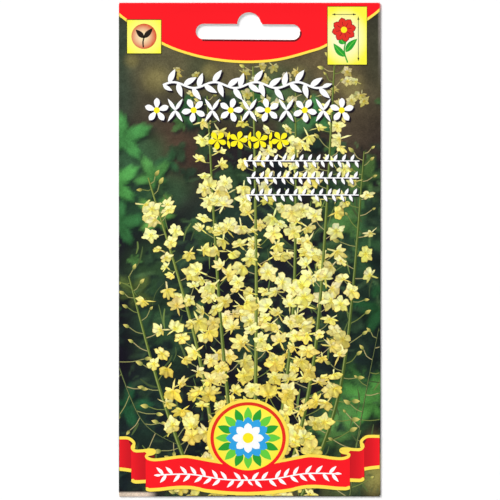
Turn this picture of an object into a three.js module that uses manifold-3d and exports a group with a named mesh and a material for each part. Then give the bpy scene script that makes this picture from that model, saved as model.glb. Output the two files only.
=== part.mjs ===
// A flat seed packet: one die-cut sheet of coated paper, folded and glued into a pocket with a
// hanging slot, and the loose seeds inside it. Millimetres. The packet lies on its back with its
// front panel up: +Z out of the front, +Y towards the end with the slot.
import * as THREE from 'three';
import { mergeVertices } from 'three/addons/utils/BufferGeometryUtils.js';
import Module from 'manifold-3d';

// Packet
const WIDTH = 80;
const HEIGHT = 151;
const SHEET = 0.12; // thickness of the paper
const GLUE = 0.05; // thickness of a dried glue film

// Filling
const BULGE = 2.0; // rise of the front panel over the seeds
const FLAT_EDGE = 0.4; // flat strip along each long edge, where the slope hasn't begun
const SIDE_RAMP = 24; // width of the slope along each long edge
const BOTTOM_RAMP = 26;
const TOP_RAMP = 40;
const BULGE_TOP = 56; // y where the bulge has flattened out below the slot
const REST = 0.15; // how far the front settles onto the back around the slot
const REST_HALF = 31; // half the width of that settled area
const REST_BELOW = 52; // its lower end
const REST_SIDE_RAMP = 12; // slopes at its sides, its lower end and below the top fold
const REST_LOWER_RAMP = 10;
const REST_UPPER_RAMP = 3;

// Folds and flaps
const TUCK_FOLD = 0.1; // radius of the left fold at mid-thickness
const TUCK_WIDTH = 12; // side flap tucked between the panels
const TUCK_TAPER = 4; // how much each end of the side flap is cut back
const TOP_FLAP = 20;
const BOTTOM_FLAP = 15;
const FLAP_TAPER = 3;
const CORNER = 0.08; // cut-back of the flaps at the corners of the front panel
const BACK_SHORT = 0.7; // the back panel stops this far from the left edge
const FOLD_STEPS = 4; // flats in each half-turn

// Cells of each panel
const FRONT_COLUMNS = 14;
const ROWS = 26;
const BACK_COLUMNS = 8;
const TUCK_COLUMNS = 2;
const FLAP_ROWS = 3;
const WELD = 1e-4; // corners closer than this are one corner

// Hanging slot: a long round-ended slot with a round notch in its upper edge
const SLOT_LENGTH = 32;
const SLOT_HEIGHT = 4.75;
const SLOT_X = -0.5;
const SLOT_Y = 66.6;
const SLOT_TILT = -0.4; // degrees
const NOTCH_RADIUS = 3.6;
const NOTCH_X = 0.25; // from the slot's centre
const NOTCH_FLARE = 0.5; // how much wider the notch opens at its right foot
const FLARE_ANGLE = 0.24; // where the flare leaves the round part, in radians
const ARC_STEPS = 10;
const PUNCH_DEPTH = 6; // the punch reaches through every layer
const PUNCH_BELOW = 2;

// Glue strips
const SEAM_GLUE_WIDTH = 7;
const SEAM_GLUE_LENGTH = 130;
const SEAM_GLUE_Y = -3;
const FLAP_GLUE_WIDTH = 5;
const FLAP_GLUE_LENGTH = 68;
const FLAP_GLUE_INSET = 1.5; // from the flap's free edge

// Seeds
const SEED_COUNT = 36;
const SEED_LENGTH = 2.3;
const SEED_SPACING = 3.4;
const SEED_AREA = { x: 0, y: -24, rx: 23, ry: 33 };
const SEED_MAX_HEIGHT = 1.25; // what the pocket has room for
const SEED_END_HEIGHTS = [0.3, 0.25]; // heights of the two points, in seed heights
const SEED_SECTIONS = [
  [-0.26, 0.72],
  [0.05, 1],
  [0.3, 0.68],
]; // along the length, in seed lengths, and how full the section is
const RANDOM_START = 20;

// Heights of the paper layers at mid-thickness, from the surface the packet lies on
const FLAP_Z = SHEET / 2;
const BACK_Z = FLAP_Z + SHEET + GLUE;
const TUCK_Z = BACK_Z + SHEET + GLUE;
const FRONT_Z = TUCK_Z + 2 * TUCK_FOLD;
const BACK_FOLD = (FRONT_Z - BACK_Z) / 2;
const END_FOLD = (FRONT_Z - FLAP_Z) / 2;

// Edges of the flat front panel, where its folds begin
const LEFT = -WIDTH / 2 + TUCK_FOLD + SHEET / 2;
const RIGHT = WIDTH / 2 - BACK_FOLD - SHEET / 2;
const TOP = HEIGHT / 2 - END_FOLD - SHEET / 2;
const BOTTOM = -TOP;

const PRINTED_PAPER = { color: 0x4a5a40, roughness: 0.4 };
const DRIED_GLUE = { color: 0xe9e4d2, roughness: 0.5 };
const SEED_COAT = { color: 0x2b2320, roughness: 0.8 };

function ramp(t) {
  const c = Math.min(1, Math.max(0, t));
  return c * c * (3 - 2 * c);
}

function bulge(x, y) {
  const side = ramp((WIDTH / 2 - FLAT_EDGE - Math.abs(x)) / SIDE_RAMP);
  const ends = ramp((y - BOTTOM) / BOTTOM_RAMP) * ramp((BULGE_TOP - y) / TOP_RAMP);
  const settledAcross = ramp((REST_HALF - Math.abs(x)) / REST_SIDE_RAMP);
  const settledAlong =
    ramp((y - REST_BELOW) / REST_LOWER_RAMP) * ramp((TOP - y) / REST_UPPER_RAMP);
  return BULGE * side * ends - REST * settledAcross * settledAlong;
}

function spread(from, to, count) {
  return Array.from({ length: count + 1 }, (_, i) => from + ((to - from) * i) / count);
}

// A half-turn fold followed by a flat run back under the panel. s is the distance past the
// panel's edge along the paper; out is the distance from that edge, and up the height.
function folded(s, radius, z) {
  if (s < Math.PI * radius) {
    const a = s / radius;
    return {
      out: radius * Math.sin(a),
      up: FRONT_Z - radius + radius * Math.cos(a),
      normalOut: Math.sin(a),
      normalUp: Math.cos(a),
    };
  }
  return { out: Math.PI * radius - s, up: z, normalOut: 0, normalUp: -1 };
}

function foldSteps(radius, flat, flatSteps) {
  const turn = Math.PI * radius;
  return [...spread(0, turn, FOLD_STEPS), ...spread(turn, turn + flat, flatSteps).slice(1)];
}

// The sheet is a set of four-cornered cells on its middle surface. Corners at one place are
// shared, so panels and flaps join along their folds.
const corners = [];
const cornerAt = new Map();
const cells = [];

function corner(p, n) {
  const key = p.map((c) => Math.round(c / WELD)).join(' ');
  if (!cornerAt.has(key)) {
    cornerAt.set(key, corners.length);
    corners.push({ p, n });
  }
  return cornerAt.get(key);
}

function panel(us, vs, place) {
  for (let i = 0; i + 1 < us.length; i += 1) {
    for (let j = 0; j + 1 < vs.length; j += 1) {
      const square = [
        [us[i], vs[j]],
        [us[i + 1], vs[j]],
        [us[i + 1], vs[j + 1]],
        [us[i], vs[j + 1]],
      ];
      cells.push(square.map(([u, v]) => corner(...place(u, v))));
    }
  }
}

function envelopeSheet() {
  const inner = spread(LEFT + CORNER, RIGHT - CORNER, FRONT_COLUMNS);
  const rows = spread(BOTTOM + CORNER, TOP - CORNER, ROWS);
  panel([LEFT, ...inner, RIGHT], [BOTTOM, ...rows, TOP], (x, y) => [
    [x, y, FRONT_Z + bulge(x, y)],
    [0, 0, 1],
  ]);

  // Back panel, over the right-hand fold
  const backWidth = RIGHT - (-WIDTH / 2 + BACK_SHORT);
  panel(foldSteps(BACK_FOLD, backWidth, BACK_COLUMNS), rows, (s, y) => {
    const f = folded(s, BACK_FOLD, BACK_Z);
    return [
      [RIGHT + f.out, y, f.up],
      [f.normalOut, 0, f.normalUp],
    ];
  });

  // Side flap, tucked inside over the left-hand fold
  const tuckTurn = Math.PI * TUCK_FOLD;
  const tuckSteps = foldSteps(TUCK_FOLD, TUCK_WIDTH, TUCK_COLUMNS).reverse();
  panel(tuckSteps.map((s) => -s), rows, (u, y) => {
    const f = folded(-u, TUCK_FOLD, TUCK_Z);
    const along = Math.max(0, -u - tuckTurn) / TUCK_WIDTH;
    const shrink = 1 - (along * TUCK_TAPER) / (TOP - CORNER);
    return [
      [LEFT - f.out, y * shrink, f.up],
      [-f.normalOut, 0, f.normalUp],
    ];
  });

  // Top and bottom flaps, over the back panel
  const endFlap = (length, side) => {
    const turn = Math.PI * END_FOLD;
    const steps = foldSteps(END_FOLD, length, FLAP_ROWS);
    const vs = side > 0 ? steps : steps.reverse().map((s) => -s);
    panel(inner, vs, (x, v) => {
      const s = Math.abs(v);
      const f = folded(s, END_FOLD, FLAP_Z);
      const along = Math.max(0, s - turn) / length;
      const shrink = 1 - (along * FLAP_TAPER) / (WIDTH / 2 - CORNER);
      return [
        [x * shrink, side * (TOP + f.out), f.up],
        [0, side * f.normalOut, f.normalUp],
      ];
    });
  };
  endFlap(TOP_FLAP, 1);
  endFlap(BOTTOM_FLAP, -1);
}

// Both faces of the sheet and the cut edges between them, as one closed surface
function thicken() {
  const positions = [];
  for (const side of [0.5, -0.5]) {
    for (const { p, n } of corners) {
      positions.push(...p.map((c, k) => c + n[k] * SHEET * side));
    }
  }
  const under = corners.length;
  const index = [];
  const edges = new Set();
  for (const cell of cells) {
    cell.forEach((a, k) => edges.add(`${a} ${cell[(k + 1) % 4]}`));
  }
  for (const [a, b, c, d] of cells) {
    index.push(a, b, c, a, c, d);
    index.push(a + under, c + under, b + under, a + under, d + under, c + under);
  }
  for (const cell of cells) {
    cell.forEach((a, k) => {
      const b = cell[(k + 1) % 4];
      if (!edges.has(`${b} ${a}`)) {
        index.push(a, a + under, b + under, a, b + under, b);
      }
    });
  }
  const geometry = new THREE.BufferGeometry();
  geometry.setAttribute('position', new THREE.Float32BufferAttribute(positions, 3));
  geometry.setIndex(index);
  return geometry;
}

function slotPunch() {
  const r = SLOT_HEIGHT / 2;
  const half = SLOT_LENGTH / 2 - r;
  const outline = new THREE.Shape();
  outline.moveTo(-half, -r);
  outline.lineTo(half, -r);
  outline.absarc(half, 0, r, -Math.PI / 2, Math.PI / 2, false);
  outline.lineTo(NOTCH_X + NOTCH_RADIUS + NOTCH_FLARE, r);
  outline.absarc(NOTCH_X, r, NOTCH_RADIUS, FLARE_ANGLE, Math.PI, false);
  outline.absarc(-half, 0, r, Math.PI / 2, (Math.PI * 3) / 2, false);
  const punch = new THREE.ExtrudeGeometry(outline, {
    depth: PUNCH_DEPTH,
    bevelEnabled: false,
    curveSegments: ARC_STEPS,
  });
  punch.translate(0, 0, -PUNCH_BELOW);
  punch.rotateZ((SLOT_TILT * Math.PI) / 180);
  punch.translate(SLOT_X, SLOT_Y, 0);
  return punch;
}

const wasm = await Module();
wasm.setup();

function solid(geometry) {
  const bare = geometry.clone();
  bare.deleteAttribute('normal');
  bare.deleteAttribute('uv');
  const merged = mergeVertices(bare, WELD);
  return new wasm.Manifold(
    new wasm.Mesh({
      numProp: 3,
      vertProperties: new Float32Array(merged.attributes.position.array),
      triVerts: new Uint32Array(merged.index.array),
    }),
  );
}

function surface(manifold) {
  const mesh = manifold.getMesh();
  const geometry = new THREE.BufferGeometry();
  geometry.setAttribute('position', new THREE.Float32BufferAttribute(mesh.vertProperties, 3));
  geometry.setIndex(Array.from(mesh.triVerts));
  geometry.computeVertexNormals();
  return geometry;
}

const group = new THREE.Group();

function add(name, geometry, look) {
  const material = new THREE.MeshStandardMaterial({ ...look, metalness: 0 });
  const mesh = new THREE.Mesh(geometry, material);
  mesh.name = name;
  group.add(mesh);
  return mesh;
}

envelopeSheet();
add('paper_envelope', surface(solid(thicken()).subtract(solid(slotPunch()))), PRINTED_PAPER);

function glueStrip(name, width, length, x, y, z) {
  const strip = add(name, new THREE.BoxGeometry(width, length, GLUE), DRIED_GLUE);
  strip.position.set(x, y, z);
}

const seamX = LEFT + TUCK_WIDTH / 2;
const seamZ = TUCK_Z - SHEET / 2 - GLUE / 2;
glueStrip('side_seam_glue', SEAM_GLUE_WIDTH, SEAM_GLUE_LENGTH, seamX, SEAM_GLUE_Y, seamZ);
const fromFreeEdge = FLAP_GLUE_INSET + FLAP_GLUE_WIDTH / 2;
const topGlueY = TOP - TOP_FLAP + fromFreeEdge;
const bottomGlueY = BOTTOM + BOTTOM_FLAP - fromFreeEdge;
const flapGlueZ = FLAP_Z + SHEET / 2 + GLUE / 2;
glueStrip('top_flap_glue', FLAP_GLUE_LENGTH, FLAP_GLUE_WIDTH, 0, topGlueY, flapGlueZ);
glueStrip('bottom_flap_glue', FLAP_GLUE_LENGTH, FLAP_GLUE_WIDTH, 0, bottomGlueY, flapGlueZ);

// Repeatable random numbers from 0 to 1
let state = RANDOM_START;
function random() {
  state = (state * 1664525 + 1013904223) % 4294967296;
  return state / 4294967296;
}

// A three-sided seed lying on one of its long faces, pointed at both ends
function seedGeometry() {
  const length = SEED_LENGTH * (0.85 + 0.3 * random());
  const half = length * (0.27 + 0.06 * random());
  const height = Math.min(SEED_MAX_HEIGHT, length * (0.42 + 0.1 * random()));
  const ridge = (random() - 0.5) * 0.5 * half; // the ridge along the top isn't quite central
  const [startHeight, endHeight] = SEED_END_HEIGHTS;
  const positions = [-length / 2, 0, height * startHeight];
  for (const [at, size] of SEED_SECTIONS) {
    positions.push(at * length, -half * size, 0);
    positions.push(at * length, half * size, 0);
    positions.push(at * length, ridge, height * size);
  }
  positions.push(length / 2, 0, height * endHeight);
  const index = [0, 2, 1, 0, 3, 2, 0, 1, 3];
  for (let k = 0; k < 2; k += 1) {
    const a = 1 + 3 * k;
    for (const [p, q] of [
      [0, 1],
      [1, 2],
      [2, 0],
    ]) {
      index.push(a + p, a + q, a + q + 3, a + p, a + q + 3, a + p + 3);
    }
  }
  index.push(7, 8, 10, 8, 9, 10, 9, 7, 10);
  const geometry = new THREE.BufferGeometry();
  geometry.setAttribute('position', new THREE.Float32BufferAttribute(positions, 3));
  geometry.setIndex(index);
  geometry.computeVertexNormals();
  return geometry;
}

const seeds = [];
while (seeds.length < SEED_COUNT) {
  const x = SEED_AREA.x + (2 * random() - 1) * SEED_AREA.rx;
  const y = SEED_AREA.y + (2 * random() - 1) * SEED_AREA.ry;
  const inside = ((x - SEED_AREA.x) / SEED_AREA.rx) ** 2 + ((y - SEED_AREA.y) / SEED_AREA.ry) ** 2;
  const clear = seeds.every((s) => Math.hypot(s.x - x, s.y - y) > SEED_SPACING);
  if (inside < 1 && clear) {
    seeds.push({ x, y });
  }
}
seeds.forEach(({ x, y }, k) => {
  const name = `seed_${String(k + 1).padStart(2, '0')}`;
  const seed = add(name, seedGeometry(), SEED_COAT);
  seed.position.set(x, y, BACK_Z + SHEET / 2);
  seed.rotation.z = random() * 2 * Math.PI;
});

export default group;
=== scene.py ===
"""The seed packet as it looks: fine folded paper and its printed inks. Sizes are in millimetres
until a mesh is made; +X is right and +Y is up as the front is read, from the packet's centre."""

import random
from math import atan2, ceil, cos, dist, hypot, pi, radians, sin, sqrt

import bmesh
import bpy
import numpy as np
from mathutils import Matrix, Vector
from mathutils.geometry import delaunay_2d_cdt


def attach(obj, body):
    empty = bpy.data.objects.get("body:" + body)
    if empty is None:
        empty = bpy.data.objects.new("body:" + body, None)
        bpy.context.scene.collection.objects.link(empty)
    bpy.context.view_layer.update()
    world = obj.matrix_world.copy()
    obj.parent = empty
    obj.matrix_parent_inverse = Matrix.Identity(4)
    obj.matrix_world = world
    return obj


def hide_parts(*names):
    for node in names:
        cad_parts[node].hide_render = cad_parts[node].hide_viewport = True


MM = 0.001

# Packet, as in the CAD model
WIDTH = 80
HEIGHT = 151
SHEET = 0.12
GLUE = 0.05
BULGE = 2
BULGE_RIM = 0.4
SIDE_RAMP = 24
BOTTOM_RAMP = 26
TOP_RAMP = 40
BULGE_TOP = 56
REST = 0.15  # how far the front settles onto the back around the slot
REST_HALF = 31
REST_BELOW = 52
REST_RAMPS = (12, 10, 3)  # at its sides, below and above
TUCK_FOLD = 0.1
TUCK_WIDTH = 12
TUCK_TAPER = 4
TOP_FLAP = 20
BOTTOM_FLAP = 15
FLAP_TAPER = 3
CORNER = 0.08
CORNER_FILL = 0.22  # how far the end folds widen into the corners
BACK_SHORT = 0.7
SLOT_LENGTH = 32
SLOT_HEIGHT = 4.75
SLOT_X = -0.5
SLOT_Y = 66.6
SLOT_TILT = radians(-0.4)
NOTCH_RADIUS = 3.6
NOTCH_X = 0.25
NOTCH_FLARE = 0.5
FLARE_ANGLE = 0.24
FLAP_Z = SHEET / 2
BACK_Z = FLAP_Z + SHEET + GLUE
TUCK_Z = BACK_Z + SHEET + GLUE
FRONT_Z = TUCK_Z + 2 * TUCK_FOLD
BACK_FOLD = (FRONT_Z - BACK_Z) / 2
END_FOLD = (FRONT_Z - FLAP_Z) / 2
LEFT = -WIDTH / 2 + TUCK_FOLD + SHEET / 2
RIGHT = WIDTH / 2 - BACK_FOLD - SHEET / 2
TOP = HEIGHT / 2 - END_FOLD - SHEET / 2
BOTTOM = -TOP

# Slight waves of the handled paper
WAVE = 0.11
RIPPLE = 0.03
FLAT_SIDE = 0.6  # rims without waves
FLAT_FOOT = 0.9
FLAT_TOP = 64
WAVE_RAMP = 9
WAVE_TOP_RAMP = 12

# Fine mesh
GRID = 0.62  # cell of the front panel
FOLD_STEPS = 8
BACK_STEPS = 16
TUCK_STEPS = 4
FLAP_STEPS = 6
ROUND_STEPS = 16  # of the slot's ends
NOTCH_STEPS = 24
PUNCH_Z = (-1, 3)
INK_STEP = 1.1
MAP_MARGIN = 0.01

# Light
KEY_LIGHT = 2.7
OVERHEAD_LIGHT = 0.9
WORLD_LIGHT = 0.18

# Ink
INK_LIFT = 0.018  # the first layer of ink lies this far over the paper
INK_LAYER = 0.006

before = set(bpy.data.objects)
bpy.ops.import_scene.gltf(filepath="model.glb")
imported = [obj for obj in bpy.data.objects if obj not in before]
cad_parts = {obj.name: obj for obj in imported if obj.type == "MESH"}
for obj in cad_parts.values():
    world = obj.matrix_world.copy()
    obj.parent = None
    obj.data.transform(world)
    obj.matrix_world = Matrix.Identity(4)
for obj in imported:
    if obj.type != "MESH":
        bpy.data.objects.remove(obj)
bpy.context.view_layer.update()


def linear(color):
    """Linear light of a 0 to 255 display colour."""
    return tuple(
        c / 12.92 if c <= 0.04045 else ((c + 0.055) / 1.055) ** 2.4 for c in (v / 255 for v in color)
    )


def mixed(a, b, t):
    """The values of a and b, mixed by t."""
    return tuple(p + (q - p) * t for p, q in zip(a, b))


# -------- materials


def node(tree, kind, **inputs):
    """A new shader node, its inputs set or linked, with _ for a space in their names."""
    made = tree.nodes.new("ShaderNode" + kind)
    for name, value in inputs.items():
        socket = made.inputs[name.replace("_", " ")]
        if isinstance(value, bpy.types.NodeSocket):
            tree.links.new(value, socket)
        else:
            socket.default_value = value
    return made


def paint(name, color, roughness=0.42, specular=0.05, grain=(2600, 0.02)):
    """A material of one colour with a fine grain: bumps per metre and their height in mm."""
    material = bpy.data.materials.new(name)
    material.use_nodes = True
    tree = material.node_tree
    shader = tree.nodes["Principled BSDF"]
    shader.inputs["Base Color"].default_value = (*linear(color), 1)
    shader.inputs["Roughness"].default_value = roughness
    shader.inputs["Specular IOR Level"].default_value = specular
    place = node(tree, "TexCoord").outputs["Object"]
    noise = node(tree, "TexNoise", Scale=grain[0], Vector=place)
    bump = node(tree, "Bump", Distance=grain[1] * MM, Height=noise.outputs["Fac"])
    tree.links.new(bump.outputs["Normal"], shader.inputs["Normal"])
    material.diffuse_color = (*linear(color), 1)
    return material


def tinted(name, mottles=(), roughness=0.42, specular=0.05):
    """A material that takes its colour from a mesh's own tint, under fine noise mottles."""
    material = paint(name, (128, 128, 128), roughness, specular)
    tree = material.node_tree
    tint = node(tree, "Attribute")
    tint.attribute_name = "tint"
    color = tint.outputs["Color"]
    place = node(tree, "TexCoord").outputs["Object"]
    for scale, low, high in mottles:
        noise = node(tree, "TexNoise", Scale=scale, Detail=3, Vector=place).outputs["Fac"]
        ends = {"From_Min": 0.3, "From_Max": 0.7, "To_Min": low, "To_Max": high}
        span = node(tree, "MapRange", Value=noise, **ends)
        mottle = node(tree, "VectorMath")
        mottle.operation = "SCALE"
        tree.links.new(color, mottle.inputs[0])
        tree.links.new(span.outputs["Result"], mottle.inputs["Scale"])
        color = mottle.outputs["Vector"]
    tree.links.new(color, tree.nodes["Principled BSDF"].inputs["Base Color"])
    return material


# -------- paper


def ramp(t):
    """A soft step from 0 to 1."""
    c = min(1, max(0, t))
    return c * c * (3 - 2 * c)


def crumple(x, y):
    """Slight waves of handled paper, gone at the folded edges."""
    side = ramp((WIDTH / 2 - FLAT_SIDE - abs(x)) / WAVE_RAMP)
    ends = ramp((y + HEIGHT / 2 - FLAT_FOOT) / WAVE_RAMP) * ramp((FLAT_TOP - y) / WAVE_TOP_RAMP)
    slow = sin(x * 0.13 + y * 0.05 + 0.6) * sin(y * 0.11 - x * 0.04)
    quick = sin(x * 0.31 - y * 0.17) * sin(y * 0.23 + x * 0.09 + 2)
    return side * ends * (WAVE * slow + RIPPLE * quick)


def bulge(x, y):
    """How far the filling lifts the front panel."""
    side = ramp((WIDTH / 2 - BULGE_RIM - abs(x)) / SIDE_RAMP)
    ends = ramp((y - BOTTOM) / BOTTOM_RAMP) * ramp((BULGE_TOP - y) / TOP_RAMP)
    rest = 1
    for reach, fade in zip((REST_HALF - abs(x), y - REST_BELOW, TOP - y), REST_RAMPS):
        rest *= ramp(reach / fade)
    return BULGE * side * ends - REST * rest


def front_z(x, y):
    """Middle of the front panel's paper."""
    return FRONT_Z + bulge(x, y) + crumple(x, y)


def spread(start, end, count):
    """Even steps from start to end."""
    return [start + (end - start) * i / count for i in range(count + 1)]


def folded(s, radius, z):
    """A half-turn and a flat run back, s along the paper past the panel's edge: how far out,
    how high, and the normal's two parts."""
    if s < pi * radius:
        out, up = sin(s / radius), cos(s / radius)
        return radius * out, FRONT_Z - radius + radius * up, out, up
    return pi * radius - s, z, 0, -1


def fold_steps(radius, flat, flat_steps):
    """Steps along a half-turn, and along the flat run behind it."""
    turn = pi * radius
    return spread(0, turn, FOLD_STEPS), spread(turn, turn + flat, flat_steps)


def backwards(steps):
    """Steps for a fold at the low end of a panel."""
    return [-s for s in reversed(steps)]


class Sheet:
    """The folded paper, as cells on its middle surface that are then given a thickness. Their
    kinds are 0 for the picture's print, 1 for the back's and 2 for bare paper."""

    def __init__(self):
        self.corners = []
        self.at = {}
        self.cells = []

    def corner(self, place, normal):
        key = tuple(round(c * 1e4) for c in place)
        if key not in self.at:
            self.at[key] = len(self.corners)
            self.corners.append((place, normal))
        return self.at[key]

    def panel(self, us, vs, place, kind):
        rows = [[self.corner(*place(u, v)) for v in vs] for u in us]
        for a, b in zip(rows, rows[1:]):
            self.cells += [(cell, kind) for cell in zip(a, b, b[1:], a[1:])]

    def solid(self):
        """Points, faces and the kind of each face. The inside and the cut edges are bare."""
        points = []
        for side in (0.5, -0.5):
            for place, normal in self.corners:
                points.append(tuple(p + n * SHEET * side for p, n in zip(place, normal)))
        under = len(self.corners)
        edges = set()
        for cell, _ in self.cells:
            edges.update(zip(cell, cell[1:] + cell[:1]))
        faces, kinds = [], []
        for cell, kind in self.cells:
            faces += [cell, tuple(k + under for k in reversed(cell))]
            kinds += [kind, 2]
            for a, b in zip(cell, cell[1:] + cell[:1]):
                if (b, a) not in edges:
                    faces.append((a, a + under, b + under, b))
                    kinds.append(2)
        return points, faces, kinds


def folded_sheet():
    """The front panel with its back panel, tucked side flap and two end flaps."""
    sheet = Sheet()
    inner = spread(LEFT + CORNER, RIGHT - CORNER, round(WIDTH / GRID))
    rows = spread(BOTTOM + CORNER, TOP - CORNER, round(HEIGHT / GRID))

    def front(x, y):
        return (x, y, front_z(x, y)), (0, 0, 1)

    sheet.panel([LEFT, *inner, RIGHT], [BOTTOM, *rows, TOP], front, 0)

    def back(s, y):
        out, up, normal_out, normal_up = folded(s, BACK_FOLD, BACK_Z)
        return (RIGHT + out, y, up), (normal_out, 0, normal_up)

    width = RIGHT + WIDTH / 2 - BACK_SHORT
    turn, flat = fold_steps(BACK_FOLD, width, BACK_STEPS)
    sheet.panel(turn, rows, back, 0)
    sheet.panel(flat, rows, back, 1)

    def tuck(u, y):
        out, up, normal_out, normal_up = folded(-u, TUCK_FOLD, TUCK_Z)
        along = max(0, -u - pi * TUCK_FOLD) / TUCK_WIDTH
        shrink = 1 - along * TUCK_TAPER / (TOP - CORNER)
        return (LEFT - out, y * shrink, up), (-normal_out, 0, normal_up)

    turn, flat = fold_steps(TUCK_FOLD, TUCK_WIDTH, TUCK_STEPS)
    sheet.panel(backwards(flat), rows, tuck, 2)
    sheet.panel(backwards(turn), rows, tuck, 0)

    for length, side in ((TOP_FLAP, 1), (BOTTOM_FLAP, -1)):

        def flap(x, v):
            out, up, normal_out, normal_up = folded(abs(v), END_FOLD, FLAP_Z)
            along = max(0, abs(v) - pi * END_FOLD) / length
            shrink = 1 - along * FLAP_TAPER / (WIDTH / 2 - CORNER)
            if abs(v) < pi * END_FOLD:
                shrink += CORNER_FILL / (WIDTH / 2) * sin(abs(v) / END_FOLD)
            place = (x * shrink, side * (TOP + out), up)
            return place, (0, side * normal_out, normal_up)

        for kind, steps in enumerate(fold_steps(END_FOLD, length, FLAP_STEPS)):
            sheet.panel(inner, steps if side > 0 else backwards(steps), flap, kind)
    return sheet.solid()


def arc(x, y, radius, start, end, steps):
    return [(x + radius * cos(a), y + radius * sin(a)) for a in spread(start, end, steps)]


def turned(points, x, y, angle=0.0):
    """Points turned by angle and moved to x, y."""
    c, s = cos(angle), sin(angle)
    return [(x + u * c - v * s, y + u * s + v * c) for u, v in points]


def slot_outline():
    """The hanging slot with the round notch in its upper edge."""
    r = SLOT_HEIGHT / 2
    half = SLOT_LENGTH / 2 - r
    outline = arc(half, 0, r, -pi / 2, pi / 2, ROUND_STEPS)
    outline.append((NOTCH_X + NOTCH_RADIUS + NOTCH_FLARE, r))
    outline += arc(NOTCH_X, r, NOTCH_RADIUS, FLARE_ANGLE, pi, NOTCH_STEPS)
    outline += arc(-half, 0, r, pi / 2, pi * 1.5, ROUND_STEPS)
    return turned(outline, SLOT_X, SLOT_Y, SLOT_TILT)


def add(name, data):
    """A new object in the scene."""
    obj = bpy.data.objects.new(name, data)
    bpy.context.scene.collection.objects.link(obj)
    return obj


def link(name, points, faces, materials):
    """A mesh object of points in millimetres."""
    mesh = bpy.data.meshes.new(name)
    mesh.from_pydata([tuple(c * MM for c in p) for p in points], [], faces)
    for material in materials:
        mesh.materials.append(material)
    return add(name, mesh)


def punch_slot(obj):
    """Cuts the slot through every layer of obj, with a rim of bare paper."""
    outline = slot_outline()
    n = len(outline)
    points = [(x, y, z) for z in PUNCH_Z for x, y in outline]
    faces = [tuple(reversed(range(n))), tuple(range(n, 2 * n))]
    faces += [(i, (i + 1) % n, (i + 1) % n + n, i + n) for i in range(n)]
    punch = link("punch", points, faces, obj.data.materials)
    punch.data.polygons.foreach_set("material_index", [2] * len(faces))
    cut = obj.modifiers.new("slot", "BOOLEAN")
    cut.operation = "DIFFERENCE"
    cut.solver = "MANIFOLD"
    cut.object = punch
    made = bpy.data.meshes.new_from_object(obj.evaluated_get(bpy.context.evaluated_depsgraph_get()))
    obj.modifiers.clear()
    old = obj.data
    obj.data = made
    bpy.data.meshes.remove(old)
    bpy.data.objects.remove(punch)


# -------- the printed picture's ground

RED = (252, 27, 37)
GOLD = (255, 227, 85)
LEMON = (254, 250, 66)
CREAM = (246, 240, 218)
WHITE = (255, 255, 255)
SHADE = (30, 24, 34)
NIGHT = (20, 14, 28)  # between the leaves
LEAF_SHADOW = (20, 32, 30)
SOIL = (216, 196, 176)
PALE_FOLD = (226, 214, 206)

# The red header's lower edge
HEADER = [(-40.4, 72.4), (-37.6, 70.1), (-27, 63.2), (-18, 59.75), (-9, 57.95), (0, 57.4)]
HEADER += [(9, 58.15), (18, 60.5), (24, 62.8), (36.2, 70.6), (40.4, 73.9)]


# Soft patches of the picture's ground: x, y, two radii, turn, colour, strength, hardness
PATCHES = [
    (-20, 56, 34, 16, 0, (104, 98, 68), 0.9, 1),
    (24, 54, 30, 14, 0.1, (108, 96, 66), 0.85, 1),
    (-40, 61, 5, 11, 0, (46, 66, 52), 0.8, 1.5),
    (-39, 47, 5, 8, 0.1, (48, 70, 56), 0.7, 1.5),
    (-15, 55, 5, 7, 0.3, (60, 68, 48), 0.7, 1.5),
    (7, 53, 8, 4, 0, (70, 88, 58), 0.6, 1.5),
    (17, 51, 4, 6, 0.4, (58, 60, 46), 0.7, 1.5),
    (39, 60, 5, 15, 0, (58, 62, 48), 0.75, 1.5),
    (-27, 45, 8, 14, 0.2, (66, 66, 54), 0.7, 1),
    (-22, 30, 9, 14, 0.3, (84, 62, 48), 0.7, 1),
    (30, 34, 12, 15, -0.3, (86, 74, 56), 0.6, 1),
    (-34, 28, 9, 8, 0.5, (60, 104, 66), 0.6, 2),
    (-27, 17, 11, 6, 0.4, (52, 92, 58), 0.6, 2),
    (-36, 12, 7, 6, -0.4, (44, 80, 52), 0.6, 2),
    (4, 46, 12, 6, 0.2, (64, 110, 66), 0.7, 2),
    (16, 40, 7, 5, 0.6, (70, 126, 74), 0.7, 2),
    (30, 14, 10, 7, -0.5, (78, 122, 66), 0.75, 2),
    (36, 0, 7, 12, 0.1, (56, 96, 58), 0.8, 1.5),
    (-8, 10, 14, 10, 0.2, (40, 62, 48), 0.8, 1),
    (-30, -6, 9, 9, 0.3, (50, 76, 44), 0.7, 1.5),
    (-26, -24, 9, 16, 0.1, (56, 92, 56), 0.75, 1.5),
    (8, -14, 22, 18, 0, (28, 36, 36), 0.5, 1),
    (-2, -42, 30, 18, 0, (20, 22, 28), 0.8, 1),
    (35, -24, 7, 14, 0.1, (26, 46, 34), 0.8, 1.5),
    (33, -44, 8, 11, -0.5, (70, 124, 58), 0.85, 2),
    (26, -54, 9, 6, 0.5, (88, 140, 70), 0.8, 2),
    (38, -66, 4, 9, 0, (170, 158, 84), 0.7, 2),
    (28, -68, 9, 8, 0, (86, 112, 62), 0.75, 1.5),
    (-32, -50, 10, 10, 0.3, (34, 62, 46), 0.7, 1.5),
    (-24, -66, 16, 9, 0, (32, 48, 36), 0.7, 1),
    (2, -72, 20, 5, 0, (128, 118, 70), 0.6, 1),
]
# Pale rounds out of focus: x, y, radius
BOKEH = [(-28.5, 52, 4.2), (-12, 54.5, 2.6), (31, 50, 3.6), (15, 53.5, 2.4), (-36, 58, 2.2)]
BOKEH_TONE = (152, 140, 84)
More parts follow.
